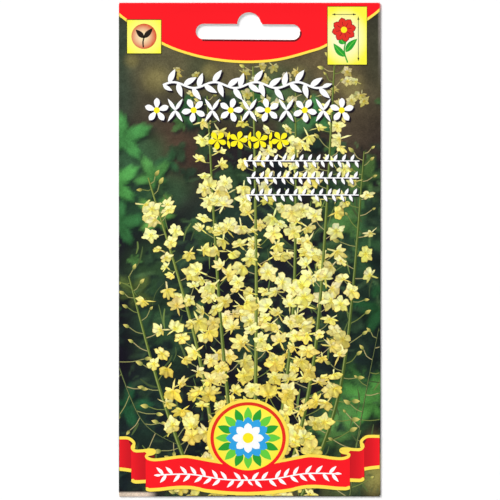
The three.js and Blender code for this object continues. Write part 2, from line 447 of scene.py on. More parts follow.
# Lobed leaves out of focus: x, y, size, turn, lobes, colour
LEAVES = [
    (-24, 27, 6, 3.4, 3, (54, 96, 60)),
    (-39, 34, 10, 0.4, 5, (78, 150, 78)),
    (-42, 20, 10, 0.6, 5, (88, 166, 82)),
    (-29, 22, 8, 2.1, 5, (84, 146, 74)),
    (-40, 8, 9, 0.2, 5, (58, 116, 64)),
    (-27, 10, 9, 2.5, 5, (104, 160, 74)),
    (-20, 44, 8, -0.9, 3, (58, 104, 62)),
    (3, 47, 9, 2.9, 5, (66, 122, 66)),
    (20, 41, 8, 0.4, 5, (74, 138, 78)),
    (36, 22, 9, 2.6, 5, (84, 120, 62)),
    (-36, -14, 9, 0.9, 5, (74, 92, 46)),
    (40, -18, 10, 3, 5, (40, 88, 50)),
    (38, -47, 11, 2.7, 5, (84, 150, 68)),
    (24, -57, 8, 1.2, 5, (92, 140, 72)),
    (-38, -48, 9, 0.1, 5, (38, 92, 58)),
]
LEAF_BLUR = (0.92, 0.26)  # strength and softness of the leaves' edges
FAR_LEAF_BLUR = (0.8, 0.14)
FAR_LEAVES = 110
BLADES = 560
# Bare ground along the picture's foot, and how fast it fades upwards and to the right
SOIL_CORNER = (-28.5, -73.9)
SOIL_FADE = (2.5, 0.5)
# The picture turns paler at the top of the right-hand fold: from where, how fast and how much
PALE_FOLD_CORNER = (39.5, 50)
PALE_FOLD_FADE = (0.2, 60)
PALE_FOLD_MOST = 0.3


def daylight(x, y):
    """How bright the leaves are: dim at the foot, brighter higher up and towards the sides."""
    side = min(1, abs(x) / 34) ** 1.5
    return 0.44 + 0.26 * ramp((y + 42) / 50) + 0.3 * side * ramp((y + 32) / 30)


def picture(x, y):
    """Linear colours of the picture's ground at arrays of places."""
    color = np.empty((len(x), 3))
    color[:] = linear(NIGHT)

    def mix(weight, tone):
        color[:] += (tone - color) * weight[:, None]

    def patch(px, py, rx, ry, turn, tone, strength, hardness):
        c, s = cos(turn), sin(turn)
        u = ((x - px) * c + (y - py) * s) / rx
        v = ((y - py) * c - (x - px) * s) / ry
        mix(strength * np.exp(-((u * u + v * v) ** hardness)), linear(tone))

    def lobed(px, py, size, turn, lobes, tone, strength, blur):
        far = np.hypot(x - px, y - py) / size
        angle = (np.arctan2(y - py, x - px) - turn + pi) % (2 * pi) - pi
        lobe = np.cos(lobes * angle)
        teeth = 0.04 * np.cos(5 * lobes * angle + turn)
        edge = (0.3 + 0.7 * np.cos(angle / 2)) * (0.76 + 0.24 * lobe + teeth)
        shade = 0.62 + 0.5 * far + 0.16 * lobe * np.cos(angle - 1)
        tones = linear(tone) * shade[:, None]
        mix(strength * np.clip((edge - far) / blur, 0, 1), tones)

    def shaded_leaf(px, py, size, turn, lobes, tone, strength, blur):
        lobed(px + 0.5, py - 1, size * 1.15, turn, lobes, LEAF_SHADOW, strength - 0.2, 0.3)
        lobed(px, py, size, turn, lobes, tone, strength, blur)

    for values in PATCHES:
        patch(*values)
    rng = random.Random(5)
    draw = rng.uniform
    for _ in range(FAR_LEAVES):
        px, py = draw(-42, 42), draw(-76, 46)
        green = rng.random() * daylight(px, py)
        tone = (20 + 72 * green, 28 + 116 * green, 36 + 36 * green)
        shape = (draw(3, 8), draw(0, 6.3), rng.choice((3, 5)))
        shaded_leaf(px, py, *shape, tone, *FAR_LEAF_BLUR)
    for values in LEAVES:
        shaded_leaf(*values, *LEAF_BLUR)
    # narrow blades and the gaps between them
    for _ in range(BLADES):
        px, py = draw(-42, 42), draw(-76, 34)
        green = rng.random() * (daylight(px, py) + 0.08)
        tone = (16 + 84 * green, 22 + 118 * green, 28 + 54 * green)
        turn = rng.gauss(0.5 if px < 0 else 2.6, 0.6)
        size = draw(1, 3.4)
        thin = draw(0.16, 0.32)
        if px > -20 or py < 4:
            patch(px, py, size, size * thin, turn, tone, 0.6, 2.5)
    for px, py, size in BOKEH:
        patch(px, py, size, size, 0, BOKEH_TONE, 0.5, 1.6)
    soil = np.clip((SOIL_CORNER[0] - x) / SOIL_FADE[0], 0, 1)
    mix(soil * np.clip((SOIL_CORNER[1] - y) / SOIL_FADE[1], 0, 1), linear(SOIL))
    mix((y > np.interp(x, *zip(*HEADER))).astype(float), linear(RED))
    return color


paper_bare = paint("bare_paper", (244, 242, 234), 0.8, 0.2)
PICTURE_MOTTLES = ((120, 0.8, 1.22), (520, 0.88, 1.12), (2400, 0.84, 1.18))
paper_front = tinted("printed_picture", PICTURE_MOTTLES)
paper_back = paint("printed_back", CREAM, 0.4, 0.3)

points, faces, kinds = folded_sheet()
packet = link("packet_paper", points, faces, [paper_front, paper_back, paper_bare])
packet.data.polygons.foreach_set("material_index", kinds)
punch_slot(packet)


def read(items, name, kind=float, size=1):
    """A value of all of a mesh's items, as an array."""
    values = np.empty(len(items) * size, dtype=kind)
    items.foreach_get(name, values)
    return values


def set_tints(mesh, values):
    """Tints a mesh's points: red, green, blue and 1 of each in one row."""
    layer = mesh.color_attributes.new("tint", "FLOAT_COLOR", "POINT")
    layer.data.foreach_set("color", values)


def finish_packet(obj):
    """Tints the front and lays out the map for the picture."""
    mesh = obj.data
    co = read(mesh.vertices, "co", size=3).reshape(-1, 3) / MM
    x, y = co[:, 0], co[:, 1]
    tint = np.ones((len(co), 4))
    tint[:, :3] = picture(np.clip(x, LEFT, RIGHT), np.clip(y, BOTTOM, TOP))
    # the picture mixed towards a pale tone along the top of the right-hand fold
    pale_fold_share = np.clip((x - PALE_FOLD_CORNER[0]) / PALE_FOLD_FADE[0], 0, 1)
    pale_fold_share *= np.clip((y - PALE_FOLD_CORNER[1]) / PALE_FOLD_FADE[1], 0, PALE_FOLD_MOST)
    tint[:, :3] += (linear(PALE_FOLD) - tint[:, :3]) * pale_fold_share[:, None]
    set_tints(mesh, tint.ravel())
    mesh.shade_smooth()
    mesh.set_sharp_from_angle(angle=radians(40))
    uv = mesh.uv_layers.new(name="OFBake")
    kinds = read(mesh.polygons, "material_index", int)
    kind = np.repeat(kinds, read(mesh.polygons, "loop_total", int))
    place = co[read(mesh.loops, "vertex_index", int)]
    u = (place[:, 0] / WIDTH + 0.5) * (0.5 - 2 * MAP_MARGIN) + MAP_MARGIN
    u += 0.5 * (kind > 0)
    v = (place[:, 1] / HEIGHT + 0.5) * (1 - 2 * MAP_MARGIN) + MAP_MARGIN
    uv.data.foreach_set("uv", np.column_stack([u, v]).ravel())


finish_packet(packet)
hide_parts("paper_envelope")


# -------- ink


def curve(points, step=1.2):
    """A curve through the points, with a point about every step."""
    ends = np.array([points[0], *points, points[-1]], dtype=float)
    path = []
    for p, q, r, s in zip(ends, ends[1:], ends[2:], ends[3:]):
        for t in spread(0, 1, max(1, round(dist(q, r) / step)))[:-1]:
            bend = (2 * p - 5 * q + 4 * r - s) * t * t + (3 * q - p - 3 * r + s) * t**3
            path.append(tuple(map(float, 0.5 * (2 * q + (r - p) * t + bend))))
    return [*path, points[-1]]


def split(outline, step):
    """An outline, counter-clockwise, with its long sides cut into pieces of about step."""
    ends = outline[1:] + outline[:1]
    if sum(ax * by - bx * ay for (ax, ay), (bx, by) in zip(outline, ends)) < 0:
        outline = outline[::-1]
        ends = outline[1:] + outline[:1]
    points = []
    for a, b in zip(outline, ends):
        pieces = max(1, ceil(dist(a, b) / step))
        points += [mixed(a, b, i / pieces) for i in range(pieces)]
    return points


def filled(outlines, step=INK_STEP):
    """Triangles that fill closed outlines less their holes, with inner points every step."""
    points, loops = [], []
    for outline in outlines:
        outline = split(outline, step)
        loops.append(list(range(len(points), len(points) + len(outline))))
        points += outline
    xs, ys = [p[0] for p in points], [p[1] for p in points]
    if max(xs) - min(xs) > step and max(ys) - min(ys) > step:
        for x in np.arange(min(xs) + step / 2, max(xs), step):
            for y in np.arange(min(ys) + step / 2, max(ys), step):
                points.append((float(x), float(y)))
    made = delaunay_2d_cdt(points, [], loops, 0, 1e-4, True)
    inside = [tuple(f) for f, within in zip(made[2], made[5]) if len(within) % 2]
    return [tuple(p) for p in made[0]], inside


class Ink:
    """A layer of print: flat shapes on the front panel, or on the back as read from behind. Its
    tints colour its points, and its spots are their places on a map."""

    layers = []

    def __init__(self, name, material, below=False):
        self.name = name
        self.material = material
        self.below = below
        self.points, self.faces = [], []
        self.tints, self.spots = [], []
        self.layers.append(self)

    def shape(self, points, faces, level=0, tints=(), spots=()):
        start = len(self.points)
        lift = SHEET / 2 + INK_LIFT + INK_LAYER * level
        if self.below:
            self.points += [(-x, y, BACK_Z - lift) for x, y in points]
        else:
            self.points += [(x, y, front_z(x, y) + lift) for x, y in points]
        self.faces += [tuple(k + start for k in face) for face in faces]
        self.tints += tints
        self.spots += spots

    def area(self, outlines, level=0, step=INK_STEP):
        self.shape(*filled(outlines, step), level)

    def strip(self, path, width, level=0, tint=None):
        """A line along a path. width is a number or one for each point."""
        if isinstance(width, list):
            widths = width
        else:
            parts = [mixed(a, b, i / 3) for a, b in zip(path, path[1:]) for i in range(3)]
            path = [*parts, path[-1]]
            widths = [width] * len(path)
        points = []
        for i, (x, y) in enumerate(path):
            (ax, ay), (bx, by) = path[max(i - 1, 0)], path[min(i + 1, len(path) - 1)]
            length = hypot(bx - ax, by - ay) or 1
            nx, ny = -(by - ay) / length * widths[i] / 2, (bx - ax) / length * widths[i] / 2
            points += [(x + nx, y + ny), (x - nx, y - ny)]
        faces = [(2 * i, 2 * i + 1, 2 * i + 3, 2 * i + 2) for i in range(len(path) - 1)]
        self.shape(points, faces, level, [tint] * len(points) if tint else ())

    def finish(self):
        obj = link(self.name, self.points, self.faces, [self.material])
        mesh = obj.data
        if self.tints:
            set_tints(mesh, [c for tint in self.tints for c in (*tint, 1)])
        if self.spots:
            uv = mesh.uv_layers.new(name="OFBake")
            for loop in mesh.loops:
                uv.data[loop.index].uv = self.spots[loop.vertex_index]
        form = bmesh.new()
        form.from_mesh(mesh)
        # cut off what runs past the packet's edges
        for x, y in ((LEFT, 0), (RIGHT - SHEET / 2, 0), (0, TOP), (0, BOTTOM)):
            everything = form.verts[:] + form.edges[:] + form.faces[:]
            at = Vector((x * MM, y * MM, 0))
            out = at.normalized()
            bmesh.ops.bisect_plane(
                form, geom=everything, dist=1e-8, plane_co=at, plane_no=out, clear_outer=True
            )
        for face in form.faces:
            if (face.normal.z > 0) == self.below:
                face.normal_flip()
            face.smooth = True
        form.to_mesh(mesh)
        form.free()
        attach(obj, "root")


def box(x0, y0, x1, y1):
    """A rectangle's outline."""
    return [(x0, y0), (x1, y0), (x1, y1), (x0, y1)]


def border(x0, y0, x1, y1, width):
    """A rectangle's outline and the one inside it."""
    return [box(x0, y0, x1, y1), box(x0 + width, y0 + width, x1 - width, y1 - width)]


def circle(x, y, radius, steps=40):
    return arc(x, y, radius, 0, 2 * pi, steps)[:-1]


def blade(length, width, steps, widest, fullness, bend=0.0):
    """A leaf's or petal's outline from the origin along +X."""
    top, low = [], []
    for t in spread(0, 1, steps):
        half = width / 2 * sin(pi * t**widest) ** fullness if 0 < t < 1 else 0
        mid = bend * sin(pi * t)
        top.append((length * t, mid + half))
        low.append((length * t, mid - half))
    return top + low[-2:0:-1]


def leaf(length, width, steps=9, bend=0.0):
    """A pointed leaf."""
    return blade(length, width, steps, 0.8, 0.9, bend)


def petal(length, width, steps=8):
    """A round-ended petal."""
    return blade(length, width, steps, 1.6, 0.7)


# -------- stems, buds and blossoms

rng = random.Random(11)
draw = rng.uniform
STEM_TONES = [(98, 118, 46), (116, 132, 54), (84, 106, 42)]
STALK_TONES = [(150, 150, 92), (120, 132, 66), (176, 164, 112)]

stems = Ink("print_stems", tinted("stem_ink"))
blossoms = Ink("print_blossoms", tinted("blossom_ink", ((700, 0.8, 1.14), (1500, 0.9, 1.08))))
ATLAS = 23  # blossoms along each side of their map
SPOKES = 40
FLECK = [(-0.14, -0.05), (0.14, -0.05), (0.14, 0.06), (-0.14, 0.06)]
RINGS = [0.2, 0.52, 0.89, 1]
PALE = linear((255, 252, 204))
LEMON_PETAL = linear((254, 238, 84))
OCHRE = linear((204, 146, 54))
WARMTH = (0.91, 1, 1.08)  # how fast red, green and blue fall in the shade
BRIGHTEST = (1, 1, 0.42)  # of a petal


def petal_set(kind):
    """Petals of a flower as angle, length and width: open, half turned, from the side or cupped."""
    if kind == "open":
        turns = [k * 0.4 * pi for k in range(5)]
        return [(t + draw(-0.16, 0.16), draw(0.8, 1.08), draw(0.68, 0.92)) for t in turns]
    if kind == "cup":
        petals = [(k * 0.75, draw(0.85, 1), draw(0.85, 1.1)) for k in (-1, 0, 1)]
        return [*petals, (pi + draw(-0.6, 0.6), draw(0.8, 1.2), 0.16)]
    wide = 0.85 if kind == "half" else 0.5
    turns = (-wide, 0, wide)
    petals = [(t + draw(-0.12, 0.12), draw(0.85, 1.15), draw(0.52, 0.8)) for t in turns]
    for side in (-1, 1):
        along = side * (wide + draw(0.75, 1.05))
        petals.append((along, draw(0.6, 0.95), draw(0.26, 0.42)))
    petals.append((pi + draw(-0.5, 0.5), draw(0.9, 1.4), 0.2))
    return petals


def petal_reach(petal, angle):
    """How far a petal reaches from the flower's middle towards an angle."""
    off = (angle - petal[0] + pi) % (2 * pi) - pi
    if abs(off) > 1.5:
        return 0
    a, b = petal[1] / 2, petal[2] / 2
    far = 2 * cos(off) / a / ((cos(off) / a) ** 2 + (sin(off) / b) ** 2)
    return far * (1 + 0.1 * max(0, 1 - abs(off) / 0.2))


def blossom(x, y, radius, turn, kind, squash, lean, light, level, index):
    """A flower: squash and lean tip it away from the reader."""
    petals = petal_set(kind)
    shares = [draw(0.78, 1.1) for _ in petals]
    hues = [(draw(0.95, 1.04), 1, draw(0.84, 1.22)) for _ in petals]
    high = ramp((y + 55) / 75)
    warmer = draw(0.9, 1.02) * (1.06 - 0.1 * high)
    cast = (warmer, 1, draw(0.78, 1.22) * (0.96 + 0.46 * high))
    light *= 1 + 0.15 * high
    warm = rng.random() * 0.7
    pale, base = mixed(PALE, LEMON_PETAL, warm), mixed(LEMON_PETAL, OCHRE, warm * 0.5)
    points, tints, spots, faces = [], [], [], []
    row, column = divmod(index, ATLAS)
    cl, sl = cos(lean), sin(lean)
    phase = draw(0, 6)

    def put(u, v, tone, hue=(1, 1, 1)):
        a = u * cl + v * sl
        b = (v * cl - u * sl) * squash
        points.append((x + (a * cl - b * sl) * radius, y + (a * sl + b * cl) * radius))
        factors = zip(BRIGHTEST, tone, WARMTH, hue, cast)
        tints.append(tuple(min(top, c * light**w * h * k) for top, c, w, h, k in factors))
        spots.append(((column + 0.5 + u * 0.33) / ATLAS, (row + 0.5 + v * 0.33) / ATLAS))

    put(0, 0, mixed(base, OCHRE, 0.6))
    for i in range(SPOKES):
        angle = 2 * pi * i / SPOKES
        reaches = [petal_reach(petal, angle) for petal in petals]
        first = max(range(len(petals)), key=lambda k: reaches[k])
        second = max(r for k, r in enumerate(reaches) if k != first)
        ripple = 1 + 0.08 * sin(9 * angle + phase) + draw(-0.06, 0.06)
        far = max(0.16, reaches[first]) * ripple
        valley = max(0, 1 - (reaches[first] - second) / 0.22)
        lit = 0.5 + 0.5 * cos(petals[first][0] + turn - 1.9)
        for ring in RINGS:
            tone = mixed(base, pale, (1 - abs(ring - 0.7) * 1.9) * (0.3 + 0.7 * lit))
            if ring == 1:
                tone = mixed(tone, OCHRE, 0.62 - 0.3 * lit)
            inner = 0.14 * cos(5 * angle + phase) if ring < 0.6 else 0
            shade = shares[first] * (0.93 + 0.2 * lit + inner)
            shade *= 1 - 0.52 * valley * min(1, ring * 1.4)
            reach = far * ring
            tone = tuple(c * shade**power for c, power in zip(tone, WARMTH))
            place = reach * cos(angle + turn), reach * sin(angle + turn)
            put(*place, tone, hues[first])
    rings = len(RINGS)
    for i in range(SPOKES):
        a, b = 1 + i * rings, 1 + (i + 1) % SPOKES * rings
        faces.append((0, a, b))
        for j in range(rings - 1):
            faces.append((a + j, a + j + 1, b + j + 1, b + j))
    blossoms.shape(points, faces, level, tints, spots)
    # dark flecks around the heart
    for _ in range(3 if kind == "side" else 5):
        angle, far = draw(0, 6.3), draw(0.12, 0.42) * radius
        fleck = turned(FLECK, x + far * cos(angle), y + far * squash * sin(angle), angle)
        tint = mixed(OCHRE, linear((90, 76, 40)), rng.random())
        blossoms.shape(fleck, [(0, 1, 2, 3)], level + 0.6, [tint] * 4, [spots[0]] * 4)


def bud(x, y, length, angle, light, level):
    """A closed bud, paler at its tip."""
    flat = [(length * 0.45, 0), *leaf(length, length * 0.5, 6)]
    base, tip = linear((112, 128, 60)), linear((238, 222, 120))
    tints = []
    for u, v in flat:
        tone = mixed(base, tip, min(1, max(0, u / length * 1.6 - 0.2)))
        shade = light * (1 + 0.5 * v / length)
        tints.append(tuple(c * shade for c in tone))
    n = len(flat) - 1
    faces = [(0, 1 + i, 1 + (i + 1) % n) for i in range(n)]
    stems.shape(turned(flat, x, y, angle), faces, level, tints)


# Sprays: base, a point to bend through, tip, and how full of blossom each is
SPRAYS = [
    ((-8, -80), (-16, -30), (-31, 22), 1),
    ((-3, -80), (-9, -20), (-13, 47), 1.1),
    ((1, -80), (2, -16), (1, 56), 1.15),
    ((5, -80), (13, -22), (14, 48), 1.1),
    ((9, -80), (20, -30), (26, 58), 1),
    ((14, -80), (28, -40), (35, 30), 0.45),
    ((-14, -80), (-27, -44), (-37, -8), 1),
    ((30, -80), (34, -52), (39.5, -24), 0),
    ((-42, -30), (-33, -52), (-21, -60), 0),
]
# A stem's lit and dark sides: how far off its middle, and the colour mixed in
STEM_SIDES = [(-0.2, (182, 190, 116)), (0.32, (40, 54, 24))]
STEM_SIDE = 0.26  # of its width
BARE_STEM = (70, 84, 50)
STALK_LEVEL = 0.5
STEM_LEVEL = 5
SPRIGS_BETWEEN = 120
THICKET = 34
# Dimmer blossoms at the top, farther off: around x, y and how many
FAR_BLOSSOMS = [(-19, 53, 5), (1, 53, 6), (32, 47, 10), (11, 51, 4)]


def in_bloom(x, y):
    """Whether a place is within the mass of blossom, which narrows towards the foot."""
    return y <= 57 and abs(x) <= (43 if y > -12 else 34 + 0.2 * (y + 12))


flowers = []
for base, middle, tip, fullness in SPRAYS:
    path = curve([base, middle, tip])
    count = len(path)
    tone = linear(rng.choice(STEM_TONES) if fullness else BARE_STEM)
    thick = 1.3 if fullness else 0.45
    widths = [thick * (1 - 0.68 * (i / count) ** 1.3) for i in range(count)]
    stems.strip(path, widths, STEM_LEVEL, tone)
    for offset, other in STEM_SIDES:
        edge = [(x + offset * wide, y) for (x, y), wide in zip(path, widths)]
        trim = [wide * STEM_SIDE for wide in widths]
        stems.strip(edge, trim, STEM_LEVEL + 0.4, mixed(tone, linear(other), 0.5))
    length = sum(dist(a, b) for a, b in zip(path, path[1:]))
    s = 6
    side = 1
    while s < length - 1:
        t = s / length
        i = round(t * (count - 1))
        (xb, yb), (x, y) = path[max(0, i - 1)], path[i]
        heading = atan2(y - yb, x - xb)
        full = fullness * (1 - t) ** 0.35
        reach = (2.4 + 4.4 * (1 - t)) * draw(0.8, 1.5)
        out = heading + side * radians(draw(38, 80))
        bx, by = x + reach * cos(out), y + reach * sin(out)
        mx, my = (x + bx) / 2 + draw(-0.5, 0.5), (y + by) / 2 - 0.4
        stalk = curve([(x, y), (mx, my), (bx, by)], 1)
        stems.strip(stalk, 0.24, STALK_LEVEL, linear(rng.choice(STALK_TONES)))
        if fullness and t < 0.9 and rng.random() < 0.55 + 0.4 * fullness:
            radius = (2.2 + 1.4 * (1 - t)) * draw(0.85, 1.25)
            flowers.append((bx, by, radius))
            if not in_bloom(bx, by):
                bud(bx, by, radius * 0.75, out, 0.9, STEM_LEVEL + 1)
            if rng.random() < full * 0.62:
                far = draw(0.2, 0.8)
                spot = (x + far * (bx - x) * 0.6, y + far * (by - y) * 0.6 - 1.5)
                flowers.append((*spot, draw(2.2, 3.4)))
        else:
            bud(bx, by, draw(1.4, 2.6), out, draw(0.7, 1.1), STEM_LEVEL + 1)
        side = -side
        s += draw(1.9, 3.4) * (1.2 if not fullness else 1)

# narrow leaves and bare stalks between the sprays
between = random.Random(23)
pick = between.uniform
for _ in range(SPRIGS_BETWEEN):
    x, y = pick(-38, 38), pick(-74, 16)
    turn = between.gauss(1.57, 0.75)
    length, green = pick(3, 9), between.random()
    bend = pick(-0.12, 0.12) * length
    path = curve([(0, 0), (length / 2, bend), (length, 0)], 0.8)
    wide = pick(0.25, 0.7)
    widths = [wide * sin(pi * (0.1 + 0.85 * i / len(path))) for i in range(len(path))]
    tone = linear((58 + 52 * green, 74 + 58 * green, 46 + 22 * green))
    stems.strip(turned(path, x, y, turn), widths, 0, tone)

# a thicket of blossom where the sprays meet
for _ in range(THICKET):
    angle, far = draw(0, 6.3), sqrt(rng.random())
    spot = (1 + 22 * far * cos(angle), -14 + 36 * far * sin(angle))
    flowers.append((*spot, draw(2.1, 3.4)))
for cx, cy, count in FAR_BLOSSOMS:
    for _ in range(count):
        flowers.append((rng.gauss(cx, 3), min(56, rng.gauss(cy, 4)), draw(1.5, 2.3)))
KINDS = ["open", "open", "half", "half", "side", "cup"]
SQUASHES = [1, 0.95, 0.85, 0.7, 0.55]
placed = []
for x, y, radius in flowers:
    if not in_bloom(x, y):
        continue
    near = {k for u, v, wide, k in placed if dist((x, y), (u, v)) < 1.2 * (radius + wide)}
    free = [k for k in range(1, 24) if k not in near and k not in (STEM_LEVEL, STEM_LEVEL + 1)]
    placed.append((x, y, radius, rng.choice(free[:7])))
for index, (x, y, radius, level) in enumerate(placed[: ATLAS * ATLAS]):
    turn, kind = draw(0, 6.3), rng.choice(KINDS)
    tilt = rng.choice(SQUASHES), draw(-0.9, 0.9)
    light = draw(0.8, 1.09) * (0.62 if y > 44 else 1)
    blossom(x, y, radius * 0.95, turn, kind, *tilt, light, level, index)

# -------- printed shapes over the picture

PRINT = 26  # lowest layer over the picture


def flat_ink(name, color):
    """A layer of one colour."""
    return Ink("print_" + name, paint(name + "_ink", color))


red = flat_ink("red", RED)
gold = flat_ink("gold", GOLD)
lemon = Ink("print_lemon", tinted("lemon_ink"))
fold = Ink("print_fold", tinted("fold_ink"))
dark = flat_ink("dark", (40, 32, 26))
green = flat_ink("green", (104, 208, 66))
moss = flat_ink("moss", (44, 160, 52))
white = flat_ink("white", WHITE)
shadow = flat_ink("shadow", SHADE)
rose = flat_ink("rose", (226, 50, 40))
sun = flat_ink("sun", (255, 238, 36))
sky = flat_ink("sky", (52, 166, 230))
# dark red ink: printed petal outlines and ribbon undersides, and the painted shadow along the slot's
# lower edge
deep_red_and_slot_shadow = flat_ink("deep_red_and_slot_shadow", (112, 26, 30))

# Header, with a painted shadow, a dark red line, along the slot's lower right edge
HEADER_EDGE = 0.78
header_path = curve(HEADER)
slot = slot_outline()
lip = slot[-2:] + slot[:10]
red.area([[*header_path, (40.4, 76), (-40.4, 76)], slot], PRINT)
gold.strip(header_path, HEADER_EDGE, PRINT + 1)
# painted shadow: a dark red line just below the slot's lower edge and round its right end
deep_red_and_slot_shadow.strip([(x + 0.12, y - 0.29) for x, y in lip], 0.56, PRINT + 1)


def glow(ink, outline, center, reach, inner, outer, level):
    """An area whose tint fades from inner, at a centre, to outer, at a reach in x and y."""
    points, faces = filled([outline], 1)
    tints = []
    for x, y in points:
        t = min(1, hypot((x - center[0]) / reach[0], (y - center[1]) / reach[1]))
        tints.append(mixed(linear(inner), linear(outer), t**1.5))
    ink.shape(points, faces, level, tints)


def garland(path, length, width, gap, lean, stem):
    """Leaf outlines and the stem of a leafy garland along a path."""
    shapes = []
    total = sum(dist(a, b) for a, b in zip(path, path[1:]))
    count = max(2, round(total / gap))
    for k in range(count + 1):
        i = min(len(path) - 2, round(k / count * (len(path) - 1)))
        (ax, ay), (bx, by) = path[i], path[i + 1]
        side = 1 if k % 2 else -1
        size = 0.72 if k in (0, count) else 1
        angle = atan2(by - ay, bx - ax) + (side * lean if k < count else 0)
        shapes.append(turned(leaf(length * size, width * size, 10, 0.1 * side), ax, ay, angle))
    return shapes, [(path, stem)]


def lay(ink, shapes, strips, level, step=0.25, over=0.6, shift=(0, 0)):
    """Shapes and lines in ink: every other shape lies a step higher, and the lines lie over them."""
    for k, shape in enumerate(shapes):
        ink.area([turned(shape, *shift)], level + step * (k % 2))
    for path, width in strips:
        ink.strip(turned(path, *shift), width, level + over)


def lay_ornament(shapes, strips, ink, drop=(0.5, -0.55)):
    """A heading's ornament in ink, with its dark shadow below it."""
    lay(shadow, shapes, strips, TITLE, shift=drop)
    lay(ink, shapes, strips, TITLE + 1.5)


def flower_row(count, start, gap, radius, width, turn, twist, between, angles):
    """Five-petalled flowers in a row, each turned by a twist more, with leaves between them."""
    shapes = []
    y = start[1]
    for k in range(count):
        x = start[0] + k * gap
        for part in range(5):
            angle = turn + k * twist + part * 0.4 * pi
            shapes.append(turned(petal(radius, radius * width), x, y, angle))
        if k < count - 1:
            shapes += [turned(leaf(*between), x + gap / 2, y, angle) for angle in angles]
    return shapes


def wave(x0, x1, y, rise, length):
    """A path that rises and falls around y."""
    xs = spread(x0, x1, round((x1 - x0) / 0.9))
    return [(x, y + rise * sin((x - x0) * 2 * pi / length)) for x in xs]


HEART = 0.95  # radius of a plain flower's heart
BADGE = PRINT + 2
# Left badge: a sprout on a round ground
SPROUT = (-32.3, 65.2)
dark.area([box(-37.6, 59.85, -26.95, 70.4)], BADGE)
square = box(-37.45, 60, -27.1, 70.2)
glow(lemon, square, SPROUT, (7, 7), (255, 252, 150), LEMON, BADGE + 1)
disc = circle(*SPROUT, 3.85)
glow(lemon, disc, (-32.7, 65.1), (3.8, 3.8), (255, 240, 190), (216, 84, 44), BADGE + 2)
stem = curve([(-0.2, -3.4), (-0.3, -1.6), (0.1, -0.1)], 0.5)
dark.strip(turned(stem, *SPROUT), 0.42, BADGE + 3)
for angle, length in ((0.85, 4), (2.35, 3.6)):
    dark.area([turned(leaf(length, 1.6, 8), SPROUT[0], SPROUT[1] - 0.5, angle)], BADGE + 3)

# Right badge: a garden flower with its height and spread marked
BLOOM = (28.8, 67.2)
dark.area([box(23.68, 56.43, 35.92, 74.4)], BADGE)
panel = box(23.82, 56.57, 35.78, 74.25)
glow(lemon, panel, (29, 65), (7.5, 9), (250, 252, 226), (252, 246, 66), BADGE + 1)
moss.strip(curve([(29.9, 57.2), (28.9, 60.6), (29.3, 64), (28.7, 67)], 0.6), 0.4, BADGE + 2)
for x, y, angle, length in ((29.2, 59, 2.3, 5.4), (29.3, 60.4, 0.85, 5.4), (29.1, 62.9, 2.2, 2.8)):
    moss.area([turned(leaf(length, 2.1, 9, 0.25), x, y, angle)], BADGE + 2)
    rib = [(length * t, 0.25 * sin(pi * t)) for t in spread(0.1, 0.85, 6)]
    green.strip(turned(rib, x, y, angle), 0.2, BADGE + 3)
for k in range(8):
    turn = 0.2 + k * pi / 4
    at = BADGE + 4 + k % 2
    deep_red_and_slot_shadow.area([turned(petal(3.8, 2.4, 7), *BLOOM, turn)], at)
    rose.area([turned(petal(3.62, 2.1, 7), *BLOOM, turn)], at + 2)
    deep_red_and_slot_shadow.strip(turned([(1, 0), (1.7, 0.05), (2.4, 0)], *BLOOM, turn), 0.13, at + 3)
sun.area([circle(*BLOOM, HEART, 16)], BADGE + 9)
for start, end in (((25.2, 71.9), (32.5, 71.9)), ((33.2, 57.7), (33.2, 71.2))):
    dark.strip(curve([start, end], 0.6), 0.17, BADGE + 2)
    for (x, y), (u, v) in ((start, end), (end, start)):
        tip = [(0, 0), (0.95, 0.33), (0.95, -0.33)]
        dark.area([turned(tip, x, y, atan2(v - y, u - x))], BADGE + 2)

# Headings: a leafy garland, two rows of flowers and leaves, and three twigs
TITLE = PRINT + 2
TITLE_START = (-28.4, 42.6)
TITLE_GAP = 11.3
TITLE_FLOWERS = 6
TWIG_GAP = 1.3
lay_ornament(*garland(wave(-26.5, 23, 50.3, 0.9, 12.6), 4.6, 1.75, 2.3, 0.95, 0.65), white)
crossed = (1, pi - 1, -1, pi + 1)
between = (4.2, 1.1, 10)
row = flower_row(TITLE_FLOWERS, TITLE_START, TITLE_GAP, 3.8, 0.48, 0.3, 0.5, between, crossed)
lay_ornament(row, [], white)
for k in range(TITLE_FLOWERS):
    sun.area([circle(TITLE_START[0] + k * TITLE_GAP, TITLE_START[1], HEART, 16)], TITLE + 3.2)
row = flower_row(4, (-9.9, 33.4), 6.4, 2.9, 0.56, 0.9, 0.4, (2.7, 0.9, 8), (1.35, -1.35))
lay_ornament(row, [], sun, (0.4, -0.45))
for y, x0, x1, rest in ((27.1, -1.6, 33.2, 12), (21.9, -0.6, 33, 99), (16.7, -0.8, 33, 17)):
    shapes = []
    for k in range(int((x1 - x0) / TWIG_GAP) + 1):
        if not rest < k * TWIG_GAP < rest + 1.8:
            up = 1 if k % 2 else -1
            shapes.append(turned(leaf(2.3, 0.95, 7), x0 + k * TWIG_GAP, y, up * 1.1))
    twig = [(x, y) for x in spread(x0 - 0.3, x1 + 0.3, 24)]
    lay_ornament(shapes, [(twig, 0.34)], white, (0.28, -0.34))

